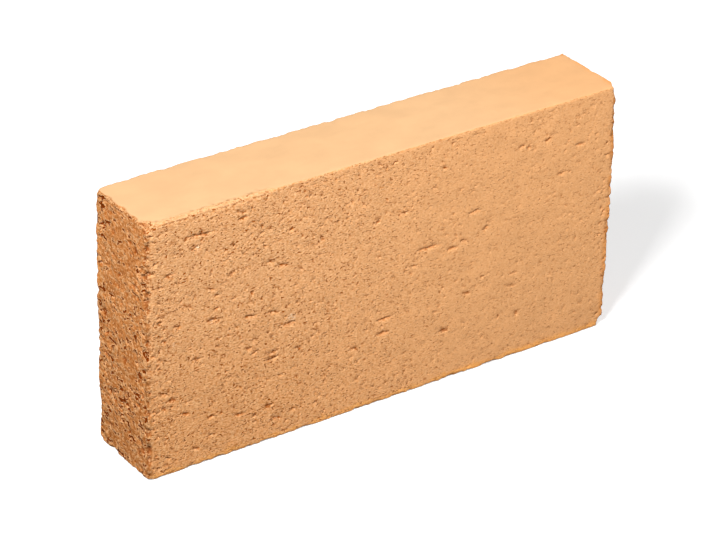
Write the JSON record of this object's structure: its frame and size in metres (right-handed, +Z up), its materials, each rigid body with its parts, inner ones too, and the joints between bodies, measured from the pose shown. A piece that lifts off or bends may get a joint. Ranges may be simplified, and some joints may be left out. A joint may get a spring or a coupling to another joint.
{
  "type": "clay brick",
  "caption": "Thin solid clay brick with no frog or holes, wire-cut at its ends and standing on its long narrow face, for facing, paving or lining.",
  "frame": {"origin": "middle of the long narrow face that the brick stands on", "axes": "+X along the length, +Y through the thickness towards the back, +Z up"},
  "size_m": [0.23, 0.038, 0.115],
  "materials": {
    "fired_clay": "matt unglazed buff-orange clay, wire-cut and sandy"
  },
  "bodies": {
    "root": {"brick": "fired_clay"}
  },
  "joints": []
}
